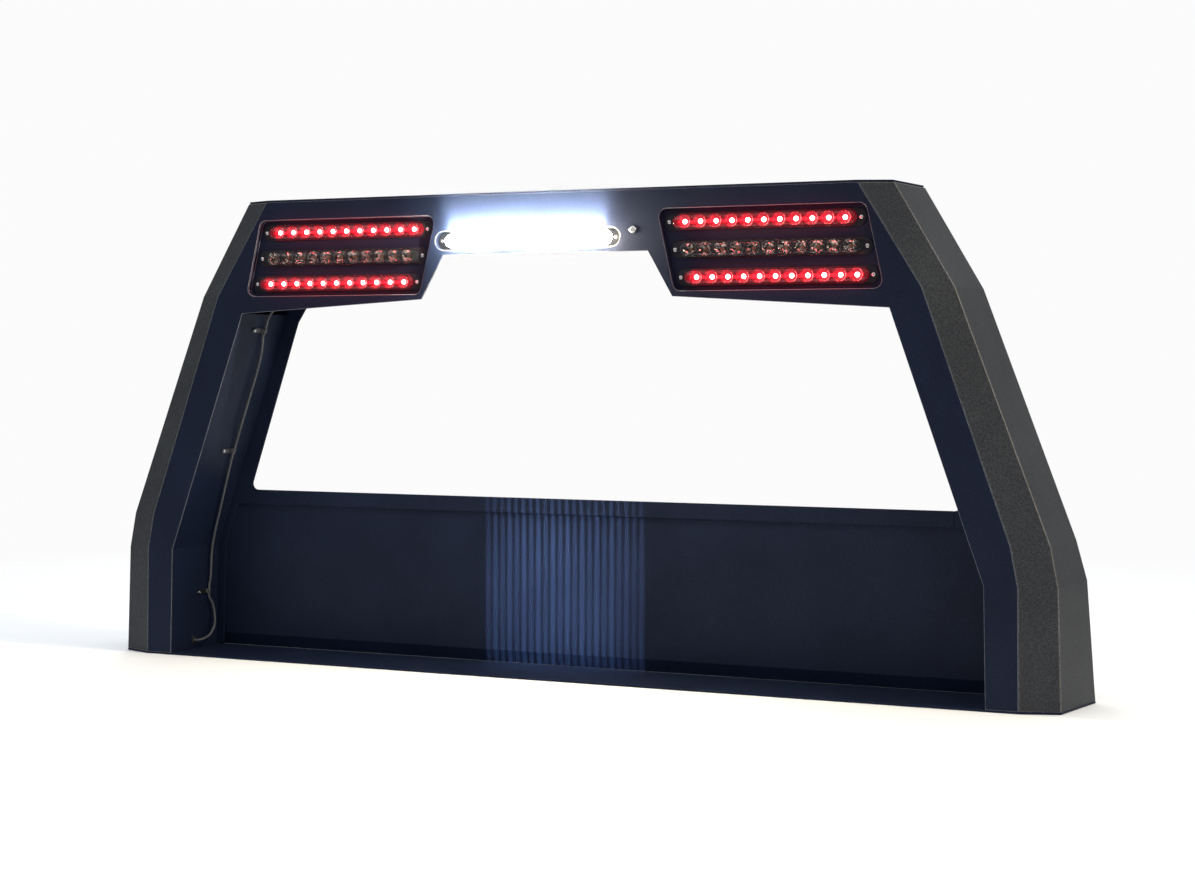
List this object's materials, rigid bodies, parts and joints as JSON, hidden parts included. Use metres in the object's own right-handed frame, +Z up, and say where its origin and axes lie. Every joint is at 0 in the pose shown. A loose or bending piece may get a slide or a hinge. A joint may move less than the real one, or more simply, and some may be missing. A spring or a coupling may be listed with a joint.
{
  "type": "headache rack",
  "caption": "Black sheet-metal headache rack with splayed posts, a lamp header, an open window and a lower bulkhead, standing on a flat base plate.",
  "frame": {"origin": "centre of the base plate's underside, midway between the rack's rearmost and foremost points", "axes": "+X along the rack's width to its right-hand post as seen from behind; +Y from the face that carries the lamps towards the vehicle's cab; +Z up"},
  "size_m": [2.222, 0.215, 1.026],
  "materials": {
    "smooth_black_coat": "satin black powder coat with a fine grain",
    "textured_black_coat": "coarse speckled black powder coat",
    "lamp_chrome": "vacuum-plated plastic, bright",
    "red_lens": "clear moulded red plastic, glossy",
    "clear_lens": "clear moulded plastic, glossy",
    "red_chip": "lit red light-emitting chips on a board",
    "unlit_chip": "unlit light-emitting chips on a board",
    "white_chip": "lit cool white light-emitting chips on a board",
    "stainless_steel": "bright stainless steel",
    "cable_jacket": "grey vinyl cable jacket",
    "black_rubber": "matte black rubber",
    "galvanised_steel": "dull zinc-plated steel"
  },
  "bodies": {
    "root": {"base_plate": "smooth_black_coat", "bulkhead": "smooth_black_coat", "cable_clip_low": "galvanised_steel", "cable_clip_middle": "galvanised_steel", "cable_clip_screw_low": "stainless_steel", "cable_clip_screw_middle": "stainless_steel", "cable_clip_screw_top": "stainless_steel", "cable_clip_top": "galvanised_steel", "cable_grommet": "black_rubber", "front_head": "smooth_black_coat", "front_jamb_left": "smooth_black_coat", "front_jamb_right": "smooth_black_coat", "front_sill": "smooth_black_coat", "light_sensor": "stainless_steel", "light_tray_left": "smooth_black_coat", "light_tray_right": "smooth_black_coat", "low_lamp_left_body": "lamp_chrome", "low_lamp_left_led_board": "red_chip", "low_lamp_left_lens": "red_lens", "low_lamp_left_screw_1": "stainless_steel", "low_lamp_left_screw_2": "stainless_steel", "low_lamp_right_body": "lamp_chrome", "low_lamp_right_led_board": "red_chip", "low_lamp_right_lens": "red_lens", "low_lamp_right_screw_1": "stainless_steel", "low_lamp_right_screw_2": "stainless_steel", "middle_lamp_left_body": "lamp_chrome", "middle_lamp_left_led_board": "unlit_chip", "middle_lamp_left_lens": "clear_lens", "middle_lamp_left_screw_1": "stainless_steel", "middle_lamp_left_screw_2": "stainless_steel", "middle_lamp_right_body": "lamp_chrome", "middle_lamp_right_led_board": "unlit_chip", "middle_lamp_right_lens": "clear_lens", "middle_lamp_right_screw_1": "stainless_steel", "middle_lamp_right_screw_2": "stainless_steel", "post_band_left": "textured_black_coat", "post_band_right": "textured_black_coat", "post_cable": "cable_jacket", "post_return_left": "smooth_black_coat", "post_return_right": "smooth_black_coat", "rear_face": "smooth_black_coat", "top_front_lip": "smooth_black_coat", "top_lamp_left_body": "lamp_chrome", "top_lamp_left_led_board": "red_chip", "top_lamp_left_lens": "red_lens", "top_lamp_left_screw_1": "stainless_steel", "top_lamp_left_screw_2": "stainless_steel", "top_lamp_right_body": "lamp_chrome", "top_lamp_right_led_board": "red_chip", "top_lamp_right_lens": "red_lens", "top_lamp_right_screw_1": "stainless_steel", "top_lamp_right_screw_2": "stainless_steel", "top_plate": "smooth_black_coat", "work_light_body": "lamp_chrome", "work_light_led_board": "white_chip", "work_light_lens": "clear_lens", "work_light_screw_1": "stainless_steel", "work_light_screw_2": "stainless_steel", "work_light_tray": "smooth_black_coat"}
  },
  "joints": []
}
